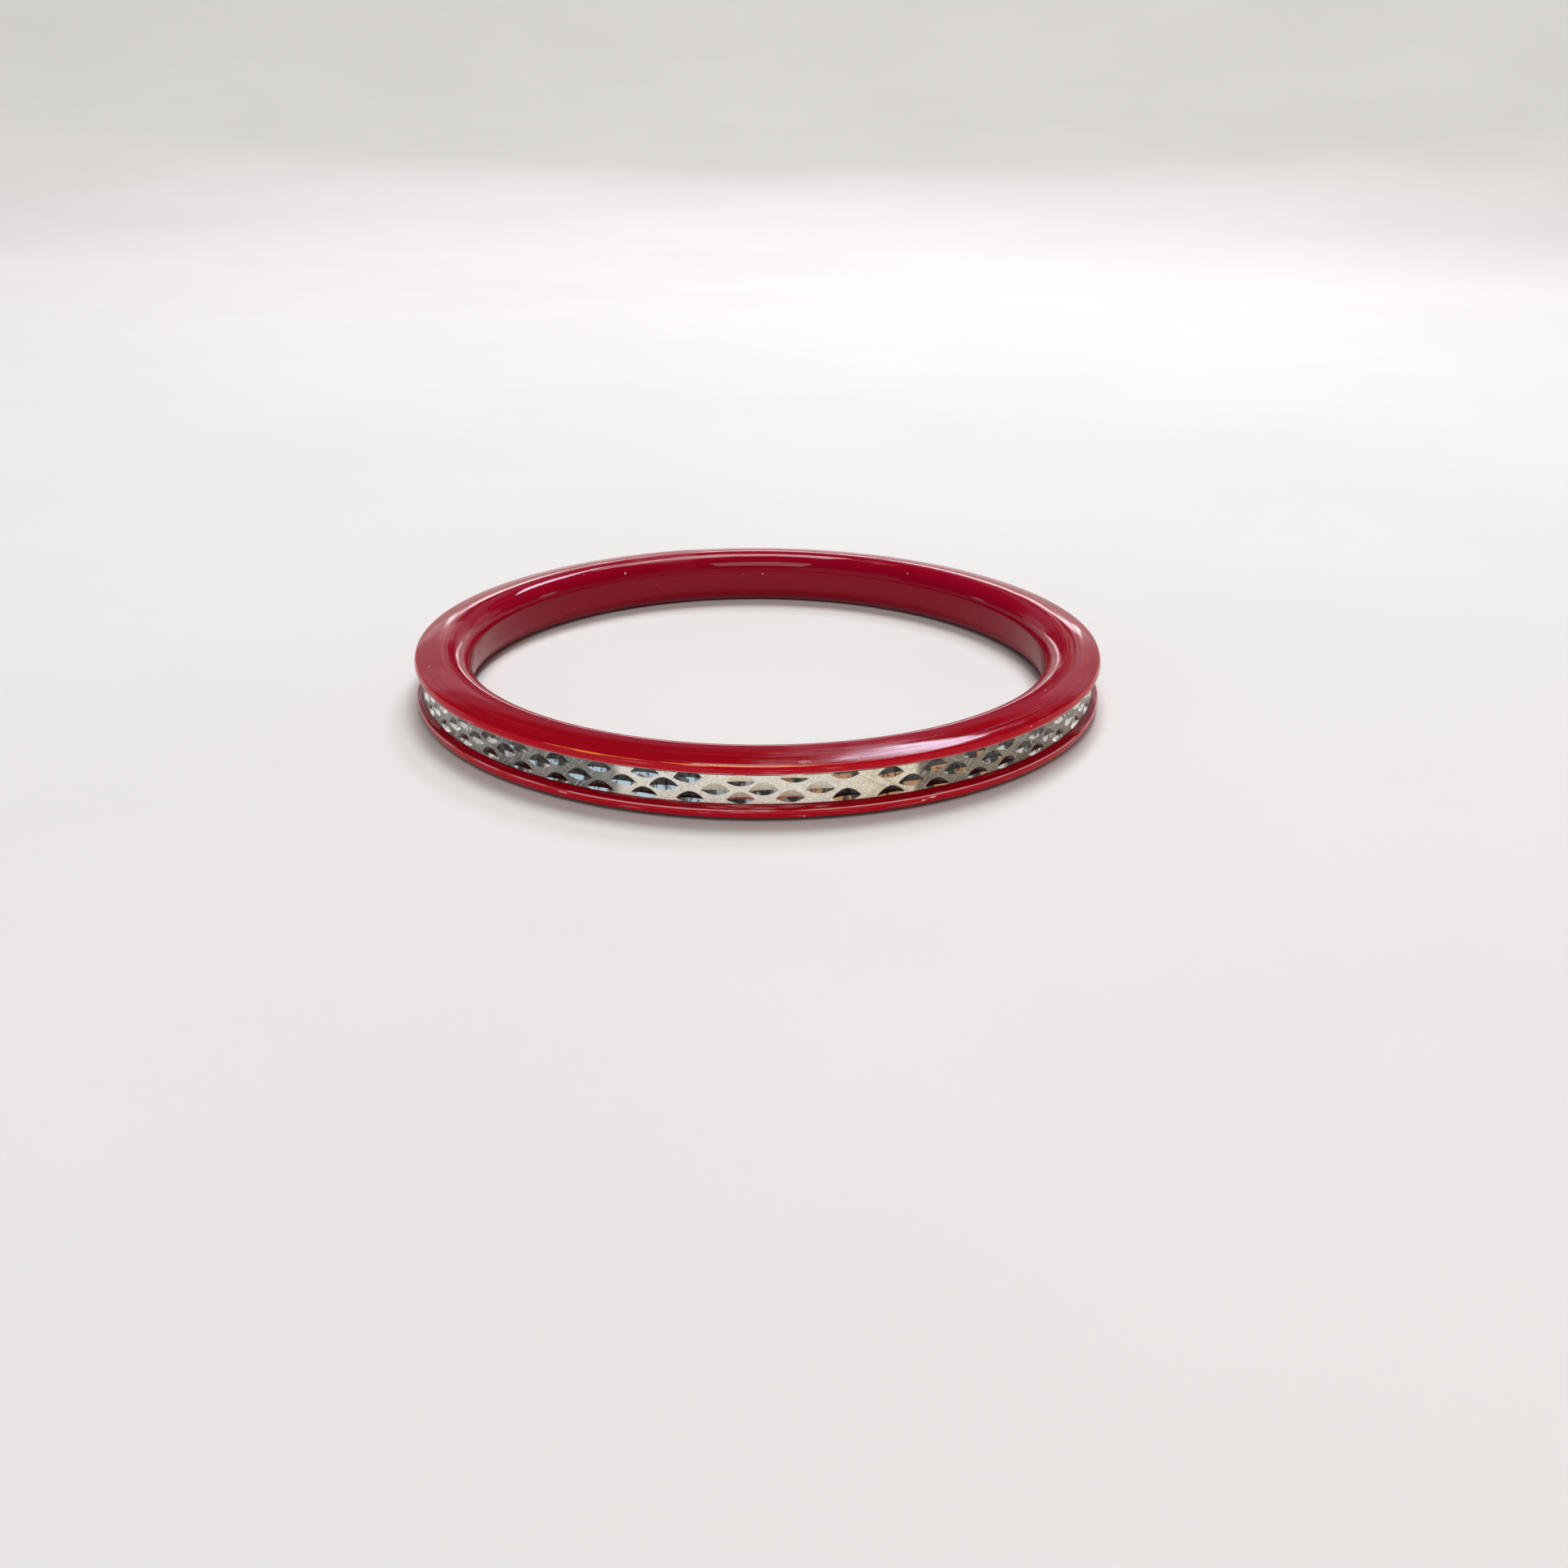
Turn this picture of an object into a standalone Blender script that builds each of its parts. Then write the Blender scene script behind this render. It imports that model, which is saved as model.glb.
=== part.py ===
"""A moulded plastic bangle with a diamond-cut silver band in the groove round its rim.

The bangle lies flat on z = 0, with the origin at the ring's centre on that plane. Lengths are in metres.
The section is the same above and below the ring's middle height.
"""

import math

import bmesh
import bpy
from mathutils import Matrix, Vector

MM = 0.001

# Ring
INNER_DIAMETER = 57.2 * MM  # across the bore, where the wrist goes
SECTION_DEPTH = 5.45 * MM  # from the bore wall to the outer edge of the rims
RING_HEIGHT = 5.64 * MM
BORE_ROUNDING = 2.05 * MM  # radius between the bore wall and each flat land
LAND_WIDTH = 0.5 * MM  # the flat ring that the bangle lies on, and its twin on top
FACE_FALL = 0.49 * MM  # how far the top face drops from its land to the rim
FACE_CROWN = 0.06 * MM  # how far that face bulges above a straight line
RIM_EDGE = 0.7 * MM  # height of each rim's outer edge
RIM_LEAN = 0.15 * MM  # how far that edge leans inwards over its height

# Groove in the ring, and the band in the groove
RIM_ROOT = 1.32 * MM  # thickness of each rim where it meets the band
BAND_RECESS = 0.73 * MM  # how far the band's face lies inside the rims
BAND_THICKNESS = 0.45 * MM
BAND_CLEARANCE = 0.2 * MM  # between the band and the groove, behind it and at both edges

# Almond-shaped cuts, each made by a thin wheel whose edge is an uneven V
CUT_PITCH = 4.19 * MM  # along the band, from one cut to the next in its row
CUT_ROWS = 3
CUT_LENGTH = 2.5 * MM
CUT_DEPTH = 0.18 * MM
CUT_ABOVE = 0.72 * MM  # width of the flank above the cut's valley line
CUT_BELOW = 0.38 * MM  # width of the flank below it
VALLEY_DROP = 0.09 * MM  # the middle row's valley line lies this far below the band's middle
FIRST_CUT_ANGLE = math.radians(-91.4)
PLAIN_PLACE = 2  # the middle row has no cut this many pitches after its first: the band is bare there
CUTTER_OVERRUN = 1.4  # a cutter's size over that of its cut, so that it stands clear of the band all round

# How finely the round shapes are faceted
STEPS_PER_CUT = 2  # facets of the ring for each cut in a row
ROUNDING_STEPS = 5
FACE_STEPS = 3
WHEEL_STEPS = 5  # odd, so that no facet edge of the wheel meets one of the band's along a cut's middle
SHARP_ANGLE = math.radians(25)

bore_radius = INNER_DIAMETER / 2
rim_radius = bore_radius + SECTION_DEPTH
middle_height = RING_HEIGHT / 2
land_inner_radius = bore_radius + BORE_ROUNDING
land_outer_radius = land_inner_radius + LAND_WIDTH
band_radius = rim_radius - BAND_RECESS
band_back_radius = band_radius - BAND_THICKNESS
groove_floor_radius = band_back_radius - BAND_CLEARANCE
groove_half_width = middle_height - RIM_ROOT
band_half_width = groove_half_width - BAND_CLEARANCE
row_spacing = 2 * band_half_width / CUT_ROWS
cuts_per_row = round(2 * math.pi * band_radius / CUT_PITCH)
ring_steps = STEPS_PER_CUT * cuts_per_row


def clear_scene():
    for leftover in list(bpy.data.objects):
        bpy.data.objects.remove(leftover, do_unlink=True)


def make_material(name, colour, roughness, metallic):
    material = bpy.data.materials.new(name)
    material.use_nodes = True
    shader = material.node_tree.nodes["Principled BSDF"]
    shader.inputs["Base Color"].default_value = (*colour, 1.0)
    shader.inputs["Roughness"].default_value = roughness
    shader.inputs["Metallic"].default_value = metallic
    return material


def add_object(name, bm):
    bmesh.ops.recalc_face_normals(bm, faces=bm.faces)
    mesh = bpy.data.meshes.new(name)
    bm.to_mesh(mesh)
    bm.free()
    mesh.shade_smooth()
    mesh.set_sharp_from_angle(angle=SHARP_ANGLE)
    piece = bpy.data.objects.new(name, mesh)
    bpy.context.scene.collection.objects.link(piece)
    return piece


def turned(outline):
    """The closed outline of (radius, height) points, turned once round the Z axis."""
    bm = bmesh.new()
    start = Matrix.Rotation(FIRST_CUT_ANGLE, 3, "Z")
    points = [bm.verts.new(start @ Vector((radius, 0, height))) for radius, height in outline]
    edges = [bm.edges.new((points[i - 1], points[i])) for i in range(len(points))]
    bmesh.ops.spin(
        bm, geom=points + edges, cent=(0, 0, 0), axis=(0, 0, 1),
        angle=2 * math.pi, steps=ring_steps, use_merge=True,
    )
    return bm


def half_section():
    """The upper half of the ring's section, as (radius, height above its middle) from groove to bore."""
    rim_top = middle_height - FACE_FALL
    rim_top_radius = rim_radius - RIM_LEAN
    points = [
        (groove_floor_radius, groove_half_width),
        (band_radius, groove_half_width),
        (rim_radius, rim_top - RIM_EDGE),
        (rim_top_radius, rim_top),
    ]
    for step in range(1, FACE_STEPS):
        share = step / FACE_STEPS
        bulge = 4 * share * (1 - share) * FACE_CROWN
        radius = rim_top_radius + share * (land_outer_radius - rim_top_radius)
        points.append((radius, rim_top + share * FACE_FALL + bulge))
    points.append((land_outer_radius, middle_height))
    for step in range(ROUNDING_STEPS + 1):
        angle = step / ROUNDING_STEPS * math.pi / 2
        radius = land_inner_radius - BORE_ROUNDING * math.sin(angle)
        points.append((radius, middle_height - BORE_ROUNDING * (1 - math.cos(angle))))
    return points


def make_ring(material):
    upper = half_section()
    lower = [(radius, -height) for radius, height in reversed(upper)]
    outline = [(radius, middle_height + height) for radius, height in upper + lower]
    ring = add_object("bangle_ring", turned(outline))
    ring.data.materials.append(material)


def make_cut_row(name, height, turn, places):
    """Cutters at these places of one row: each is the part of the V-edged wheel that can reach the band."""
    half_length = CUT_LENGTH / 2
    band_sagitta = band_radius - math.sqrt(band_radius**2 - half_length**2)
    wheel_sagitta = CUT_DEPTH - band_sagitta
    wheel_radius = (half_length**2 + wheel_sagitta**2) / (2 * wheel_sagitta)
    wheel_centre = band_radius - CUT_DEPTH + wheel_radius
    above = CUTTER_OVERRUN * CUT_ABOVE
    below = CUTTER_OVERRUN * CUT_BELOW
    flank_radius = wheel_radius - CUTTER_OVERRUN * CUT_DEPTH
    back_radius = flank_radius - CUTTER_OVERRUN * CUT_DEPTH
    half_angle = math.asin(CUTTER_OVERRUN * half_length / wheel_radius)
    edge_outline = [
        (wheel_radius, 0),
        (flank_radius, above),
        (back_radius, above),
        (back_radius, -below),
        (flank_radius, -below),
    ]
    bm = bmesh.new()
    for place in places:
        angle = FIRST_CUT_ANGLE + turn + place * 2 * math.pi / cuts_per_row
        placed = Matrix.Rotation(angle, 4, "Z") @ Matrix.Translation((wheel_centre, 0, height))
        placed = placed @ Matrix.Rotation(math.pi - half_angle, 4, "Z")
        points = [bm.verts.new(placed @ Vector((radius, 0, rise))) for radius, rise in edge_outline]
        bmesh.ops.spin(
            bm, geom=[bm.faces.new(points)], cent=placed.to_translation(), axis=(0, 0, 1),
            angle=2 * half_angle, steps=WHEEL_STEPS,
        )
    cutters = add_object(name, bm)
    cutters.hide_render = True
    cutters.display_type = "WIRE"
    return cutters


def make_band(material):
    outline = [
        (band_back_radius, middle_height - band_half_width),
        (band_radius, middle_height - band_half_width),
        (band_radius, middle_height + band_half_width),
        (band_back_radius, middle_height + band_half_width),
    ]
    band = add_object("silver_band", turned(outline))
    band.data.materials.append(material)
    for row in range(CUT_ROWS):
        height = middle_height - VALLEY_DROP + (row - (CUT_ROWS - 1) / 2) * row_spacing
        in_between = row % 2 == 1
        turn = math.pi / cuts_per_row if in_between else 0
        places = [place for place in range(cuts_per_row) if not (in_between and place == PLAIN_PLACE)]
        cut = band.modifiers.new(f"cut_row_{row + 1}", "BOOLEAN")
        cut.operation = "DIFFERENCE"
        cut.solver = "EXACT"
        cut.object = make_cut_row(f"cutters_row_{row + 1}", height, turn, places)


def main():
    clear_scene()
    red_plastic = make_material("red_plastic", (0.42, 0.004, 0.014), 0.16, 0.0)
    cut_silver = make_material("cut_silver", (0.83, 0.81, 0.76), 0.22, 1.0)
    make_ring(red_plastic)
    make_band(cut_silver)


main()
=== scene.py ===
"""The finish of a moulded red plastic bangle with a diamond-cut silver band in its groove.

The bangle lies flat on z = 0 with its axis on Z. Lengths are in metres, and angles round the ring are
counted from +X, so the side nearest the camera is at -90 degrees.
"""

import logging
import math
import random
from collections.abc import Callable, Iterator, Mapping, Sequence
from contextlib import contextmanager
from dataclasses import dataclass, field
from enum import Enum

import bmesh
import bpy
from bpy.types import Material, Node, NodeTree, Object
from bpy.types import NodeSocket as Socket
from mathutils import Euler, Matrix, Vector


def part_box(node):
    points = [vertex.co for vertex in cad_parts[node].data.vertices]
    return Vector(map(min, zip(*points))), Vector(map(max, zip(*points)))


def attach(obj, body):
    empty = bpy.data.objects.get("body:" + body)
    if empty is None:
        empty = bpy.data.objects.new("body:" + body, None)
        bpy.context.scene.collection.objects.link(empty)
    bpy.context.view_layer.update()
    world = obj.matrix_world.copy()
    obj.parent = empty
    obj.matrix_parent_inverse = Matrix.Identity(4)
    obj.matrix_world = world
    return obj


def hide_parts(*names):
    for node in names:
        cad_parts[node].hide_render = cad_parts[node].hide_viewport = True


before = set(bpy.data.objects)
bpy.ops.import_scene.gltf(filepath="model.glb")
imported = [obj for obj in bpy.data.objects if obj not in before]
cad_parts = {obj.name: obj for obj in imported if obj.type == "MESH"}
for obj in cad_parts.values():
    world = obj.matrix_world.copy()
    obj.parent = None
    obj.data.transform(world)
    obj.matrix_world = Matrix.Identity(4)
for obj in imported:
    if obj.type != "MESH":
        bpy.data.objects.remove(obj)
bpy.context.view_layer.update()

MM = 0.001
MERGE_DISTANCE = 1e-7
SAME_PLACE = 1e-6  # points nearer than this to a corner are taken to be at it
ROOT_BODY = "root"
PHOTO_PIXELS = 1932  # the photograph's width and height

Colour = tuple[float, float, float]
Levels = tuple[float, float]
log = logging.getLogger("bangle")


class CutRow(Enum):
    """The three rows of cuts, each by its place above or below the middle of the band."""

    LOWER = -1
    MIDDLE = 0
    UPPER = 1


# Modelling by hand


def pick_only(piece: Object) -> None:
    """Deselects everything, then selects the piece and makes it active.

    Args:
        piece: The object to work on next.
    """
    bpy.ops.object.select_all(action="DESELECT")
    piece.select_set(True)
    bpy.context.view_layer.objects.active = piece


@contextmanager
def editing(piece: Object) -> Iterator[None]:
    """Opens the piece in edit mode to pick points, with nothing selected, and closes it again.

    Args:
        piece: The mesh object to edit.
    """
    pick_only(piece)
    bpy.ops.object.mode_set(mode="EDIT")
    bpy.ops.mesh.select_mode(type="VERT")
    bpy.ops.mesh.select_all(action="DESELECT")
    yield
    bpy.ops.object.mode_set(mode="OBJECT")


def select_points(piece: Object, wanted: Callable[[Vector], bool]) -> None:
    """Selects, in edit mode, the points whose place passes a test, with the edges between them.

    Args:
        piece: The mesh object that is open in edit mode.
        wanted: Says of a point's place whether it is selected.
    """
    shape = bmesh.from_edit_mesh(piece.data)
    for point in shape.verts:
        point.select_set(wanted(point.co))
    shape.select_flush(True)
    bmesh.update_edit_mesh(piece.data)


@dataclass(frozen=True)
class Corner:
    """One corner of a turned outline.

    Attributes:
        radius: Distance from the ring's axis.
        height: Height above the ring's middle.
        cut_back: How far along both edges the rounding starts, or 0 for a crisp corner.
        steps: Straight steps in the rounding.
    """

    radius: float
    height: float
    cut_back: float = 0.0
    steps: int = 4

    def mirrored(self) -> "Corner":
        """The same corner on the other side of the ring's middle."""
        return Corner(self.radius, -self.height, self.cut_back, self.steps)


def turned_piece(name: str, corners: Sequence[Corner], middle: float, turn_steps: int) -> Object:
    """Traces a closed outline from one point, rounds its corners, and turns it once round Z.

    Args:
        name: The new object's name.
        corners: The outline's corners in order.
        middle: Height of the ring's middle above the ground.
        turn_steps: Facets in the full turn.

    Returns:
        The turned piece, closed and with its faces outwards.
    """
    bpy.ops.object.select_all(action="DESELECT")
    bpy.ops.mesh.primitive_plane_add(size=MM)
    piece = bpy.context.object
    piece.name = piece.data.name = name
    places = [Vector((corner.radius, 0, middle + corner.height)) for corner in corners]
    with editing(piece):
        bpy.ops.mesh.select_all(action="SELECT")
        bpy.ops.mesh.merge(type="CENTER")
        bpy.ops.transform.translate(value=places[0])
        for before, place in zip(places, places[1:]):
            bpy.ops.mesh.extrude_vertices_move(TRANSFORM_OT_translate={"value": place - before})
        bpy.ops.mesh.select_all(action="SELECT")
        bpy.ops.mesh.edge_face_add()
        for corner, place in zip(corners, places):
            if corner.cut_back > 0:
                select_points(piece, lambda point: (point - place).length < SAME_PLACE)
                bpy.ops.mesh.bevel(offset=corner.cut_back, segments=corner.steps, affect="VERTICES")
        bpy.ops.mesh.select_all(action="SELECT")
        bpy.ops.mesh.delete(type="ONLY_FACE")
        bpy.ops.mesh.select_all(action="SELECT")
        bpy.ops.mesh.spin(steps=turn_steps, angle=2 * math.pi, center=(0, 0, 0), axis=(0, 0, 1))
        bpy.ops.mesh.select_all(action="SELECT")
        bpy.ops.mesh.remove_doubles(threshold=MERGE_DISTANCE)
        bpy.ops.mesh.normals_make_consistent(inside=False)
    return piece


def shade(piece: Object, sharp_from: float) -> None:
    """Shades a piece smooth, with crisp edges where it turns more than this angle in degrees."""
    pick_only(piece)
    bpy.ops.object.shade_smooth_by_angle(angle=math.radians(sharp_from))


# Shader nodes


class Wiring:
    """Adds shader nodes to one tree and links them as they are added."""

    def __init__(self, tree: NodeTree) -> None:
        """Takes the tree to work in.

        Args:
            tree: A material's or a group's node tree.
        """
        self.tree = tree

    def add(self, kind: str, settings: dict | None = None, **inputs: object) -> Node:
        """Adds one node.

        Args:
            kind: The node's type name.
            settings: Its own properties, by name.
            **inputs: Its sockets by name, spaces written as underscores. Each takes a value or a socket.

        Returns:
            The new node.
        """
        node = self.tree.nodes.new(kind)
        for name, value in (settings or {}).items():
            setattr(node, name, value)
        return self.fill(node, inputs)

    def fill(self, node: Node, inputs: dict[str, object]) -> Node:
        """Feeds a node's sockets, named with underscores for spaces, and returns the node."""
        for name, value in inputs.items():
            self.feed(node.inputs[name.replace("_", " ")], value)
        return node

    def feed(self, socket: Socket, value: object) -> None:
        """Links a socket to another, or sets its value.

        Args:
            socket: The input to feed.
            value: A node's output, a number, a vector or a colour.
        """
        if isinstance(value, Socket):
            self.tree.links.new(value, socket)
        elif isinstance(value, tuple) and socket.type == "RGBA":
            socket.default_value = (*value, 1.0)
        else:
            socket.default_value = value

    def math(self, step: str, *values: object) -> Socket:
        """One step of arithmetic.

        Args:
            step: The Math node's operation.
            *values: Its operands, numbers or sockets.

        Returns:
            The result.
        """
        node = self.tree.nodes.new("ShaderNodeMath")
        node.operation = step
        for socket, value in zip(node.inputs, values):
            self.feed(socket, value)
        return node.outputs[0]

    def times(self, first: object, second: object) -> Socket:
        """The product of two numbers."""
        return self.math("MULTIPLY", first, second)

    def minus(self, first: object, second: object) -> Socket:
        """The first number less the second."""
        return self.math("SUBTRACT", first, second)

    def larger(self, first: object, second: object) -> Socket:
        """The larger of two numbers."""
        return self.math("MAXIMUM", first, second)

    def squares(self, first: object, second: object) -> Socket:
        """The sum of the squares of two numbers."""
        return self.math("MULTIPLY_ADD", first, first, self.times(second, second))

    def distance(self, across: object, up: object) -> Socket:
        """The straight distance over two steps at right angles."""
        return self.math("SQRT", self.squares(across, up))

    def place(self) -> Socket:
        """The surface's place in its piece."""
        return self.add("ShaderNodeTexCoord").outputs["Object"]

    def split(self, vector: Socket) -> tuple[Socket, ...]:
        """The three parts of a vector."""
        return tuple(self.add("ShaderNodeSeparateXYZ", Vector=vector).outputs)

    def noise(self, place: Socket, scale: float, detail: float) -> Socket:
        """Soft random levels round 0.5, with scale features in each metre and detail finer layers."""
        return self.add("ShaderNodeTexNoise", Vector=place, Scale=scale, Detail=detail).outputs[0]

    def ramp(self, value: object, low: float, high: float, to_low: float = 0.0, to_high: float = 1.0
             ) -> Socket:
        """A smooth step from one level to another.

        Args:
            value: The number that rises.
            low: Where the step starts.
            high: Where the step ends.
            to_low: The result before it.
            to_high: The result after it.

        Returns:
            The stepped number.
        """
        node = self.add("ShaderNodeMapRange", {"interpolation_type": "SMOOTHSTEP"})
        for socket, given in zip(node.inputs, (value, low, high, to_low, to_high)):
            self.feed(socket, given)
        return node.outputs[0]

    def blend(self, share: object, first: object, second: object) -> Socket:
        """Mixes two colours.

        Args:
            share: How much of the second, from 0 to 1.
            first: The colour at 0.
            second: The colour at 1.

        Returns:
            The mixed colour.
        """
        node = self.tree.nodes.new("ShaderNodeMix")
        node.data_type = "RGBA"
        self.feed(node.inputs[0], share)
        self.feed(node.inputs[6], first)
        self.feed(node.inputs[7], second)
        return node.outputs[2]

    def bump(self, height: Socket, depth: float, strength: float = 1.0, under: Socket | None = None,
             sunk: bool = False) -> Socket:
        """Raises the shaded surface by a height.

        Args:
            height: The height, from 0 to 1.
            depth: How far the height 1 stands out.
            strength: How strongly it shows, from 0 to 1.
            under: The bumps that this one lies on, if any.
            sunk: Whether it goes inwards.

        Returns:
            The surface's new normal.
        """
        node = self.add("ShaderNodeBump", {"invert": sunk}, Height=height, Distance=depth, Strength=strength)
        if under is not None:
            self.feed(node.inputs["Normal"], under)
        return node.outputs[0]

    def group(self, tree: NodeTree, **inputs: object) -> Socket:
        """Places a node group.

        Args:
            tree: The group's tree.
            **inputs: The group's sockets by name.

        Returns:
            What the group gives.
        """
        node = self.tree.nodes.new("ShaderNodeGroup")
        node.node_tree = tree
        return self.fill(node, inputs).outputs[0]


def new_group(name: str, inputs: dict[str, float]) -> tuple[Wiring, Mapping[str, Socket], Socket]:
    """Starts a shader node group with one output.

    Args:
        name: The group's name.
        inputs: Its number inputs, each with its usual value.

    Returns:
        The wiring inside the group, what its inputs give by name, and the output to feed.
    """
    tree = bpy.data.node_groups.new(name, "ShaderNodeTree")
    for socket_name, usual in inputs.items():
        socket = tree.interface.new_socket(socket_name, in_out="INPUT", socket_type="NodeSocketFloat")
        socket.default_value = usual
    tree.interface.new_socket("Value", in_out="OUTPUT", socket_type="NodeSocketFloat")
    wiring = Wiring(tree)
    return wiring, wiring.add("NodeGroupInput").outputs, wiring.add("NodeGroupOutput").inputs[0]


def make_stretch() -> NodeTree:
    """One stretch of the ring, with soft ends.

    Returns:
        A group. Middle is the angle at the stretch's middle, Half is half its length, Softness is how
        far its ends fade and Sway moves the ends outwards, all in radians.
    """
    inputs = {"Middle": -math.pi / 2, "Half": 0.4, "Softness": 0.1, "Sway": 0.0}
    wiring, given, result = new_group("ring_stretch", inputs)
    x, y, _ = wiring.split(wiring.place())
    away = wiring.math("ABSOLUTE", wiring.minus(wiring.math("ARCTAN2", y, x), given["Middle"]))
    reach = wiring.math("ADD", given["Half"], given["Sway"])
    share = wiring.math("DIVIDE", wiring.minus(reach, away), given["Softness"])
    wiring.feed(result, wiring.ramp(share, 0.0, 1.0))
    return wiring.tree


def make_grain() -> NodeTree:
    """Streaks that follow the ring and close on themselves.

    Returns:
        A group. Around is how many streak lengths fit in one radius, Across is streak widths for each
        metre, and Lean tilts the streaks, in radians round the ring for each metre of height.
    """
    inputs = {"Around": 6.0, "Across": 9000.0, "Lean": 0.0, "Detail": 3.0, "Seed": 0.0}
    wiring, given, result = new_group("ring_grain", inputs)
    x, y, z = wiring.split(wiring.place())
    leaning = wiring.math("MULTIPLY_ADD", z, given["Lean"], wiring.math("ARCTAN2", y, x))
    spot = wiring.add(
        "ShaderNodeCombineXYZ",
        X=wiring.times(wiring.math("COSINE", leaning), given["Around"]),
        Y=wiring.times(wiring.math("SINE", leaning), given["Around"]),
        Z=wiring.times(z, given["Across"]),
    )
    noise = wiring.add(
        "ShaderNodeTexNoise", {"noise_dimensions": "4D"}, Vector=spot.outputs[0], Scale=1.0,
        W=wiring.math("MULTIPLY_ADD", wiring.distance(x, y), given["Across"], given["Seed"]),
        Detail=given["Detail"],
    )
    wiring.feed(result, noise.outputs[0])
    return wiring.tree


def make_specks() -> NodeTree:
    """Small scattered marks such as nicks and dust.

    Returns:
        A group. Spacing is cells for each metre, Size is a mark's radius as a share of its cell, and
        Share is how many of the cells hold a mark.
    """
    wander_scale, wander_reach, softness = 7000.0, 0.2 * MM, 0.4
    wiring, given, result = new_group("scattered_specks", {"Spacing": 2000.0, "Size": 0.15, "Share": 0.1})
    place = wiring.place()
    wander = wiring.add("ShaderNodeTexNoise", Vector=place, Scale=wander_scale).outputs["Color"]
    nudge = wiring.add("ShaderNodeVectorMath", {"operation": "SCALE"}, Vector=wander, Scale=wander_reach)
    moved = wiring.add("ShaderNodeVectorMath", {"operation": "ADD"})
    wiring.feed(moved.inputs[0], place)
    wiring.feed(moved.inputs[1], nudge.outputs[0])
    cells = wiring.add("ShaderNodeTexVoronoi", Vector=moved.outputs[0], Scale=given["Spacing"])
    lot = wiring.add("ShaderNodeSeparateColor", Color=cells.outputs["Color"])
    chosen = wiring.math("LESS_THAN", lot.outputs[0], given["Share"])
    reach = wiring.times(lot.outputs[1], given["Size"])
    inside = wiring.minus(1.0, wiring.math("DIVIDE", cells.outputs["Distance"], reach))
    wiring.feed(result, wiring.times(chosen, wiring.ramp(inside, 0.0, softness)))
    return wiring.tree


@dataclass(frozen=True)
class Effects:
    """The marks that the bangle's finishes are made of, each a node group."""

    grain: NodeTree = field(default_factory=make_grain)
    specks: NodeTree = field(default_factory=make_specks)
    stretch: NodeTree = field(default_factory=make_stretch)


@dataclass(frozen=True)
class Streaks:
    """One grain of streaks that run round the ring.

    Attributes:
        around: How many streak lengths fit in one radius.
        across: Streak widths for each metre.
        detail: How many finer layers it has.
        seed: Which grain of its kind it is.
    """

    around: float
    across: float
    detail: float = 3.0
    seed: float = 0.0

    def on(self, wiring: Wiring, effects: Effects, lean: float = 0.0) -> Socket:
        """Adds the grain, turned by lean radians for each metre of height, and returns its level."""
        sizes = {"Around": self.around, "Across": self.across, "Detail": self.detail, "Seed": self.seed}
        return wiring.group(effects.grain, Lean=lean, **sizes)


@dataclass(frozen=True)
class Stretch:
    """One stretch of the ring, with its angles in degrees.

    Attributes:
        middle: The place of its middle, counted from +X.
        half: Half its length.
        softness: How far its ends fade.
    """

    middle: float
    half: float
    softness: float

    def on(self, wiring: Wiring, effects: Effects, sway: object = 0.0) -> Socket:
        """Gives 1 inside the stretch and 0 outside, with the ends moved outwards by sway radians."""
        middle, half, softness = (math.radians(size) for size in (self.middle, self.half, self.softness))
        return wiring.group(effects.stretch, Middle=middle, Half=half, Softness=softness, Sway=sway)


class Finish(Wiring):
    """The wiring of one material."""

    def __init__(self, name: str) -> None:
        """Starts a material with this name."""
        self.material = bpy.data.materials.new(name)
        self.material.use_nodes = True
        super().__init__(self.material.node_tree)

    def surface(self, **inputs: object) -> Material:
        """Feeds the shader's sockets, named as for a node, and returns the material."""
        self.fill(self.tree.nodes["Principled BSDF"], inputs)
        return self.material


@dataclass(frozen=True)
class Chip:
    """One pale chip or scuff in the plastic.

    Attributes:
        angle: Its place round the ring, in radians from +X.
        radius: Its distance from the ring's axis.
        height: Its height above the ring's middle.
        half_length: Half its length round the ring.
        half_width: Half its width.
        paleness: How much it whitens the plastic, from 0 to 1.
    """

    angle: float
    radius: float
    height: float
    half_length: float
    half_width: float
    paleness: float


CHIPS = (
    Chip(math.radians(-64.6), 34.03 * MM, -1.95 * MM, 0.35 * MM, 0.13 * MM, 0.8),
    Chip(math.radians(-63.3), 34.02 * MM, -1.82 * MM, 0.50 * MM, 0.11 * MM, 0.8),
    Chip(math.radians(-82.6), 33.40 * MM, 2.42 * MM, 0.60 * MM, 0.30 * MM, 0.22),
    Chip(math.radians(-118.4), 34.00 * MM, -1.80 * MM, 0.65 * MM, 0.10 * MM, 0.5),
)


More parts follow.
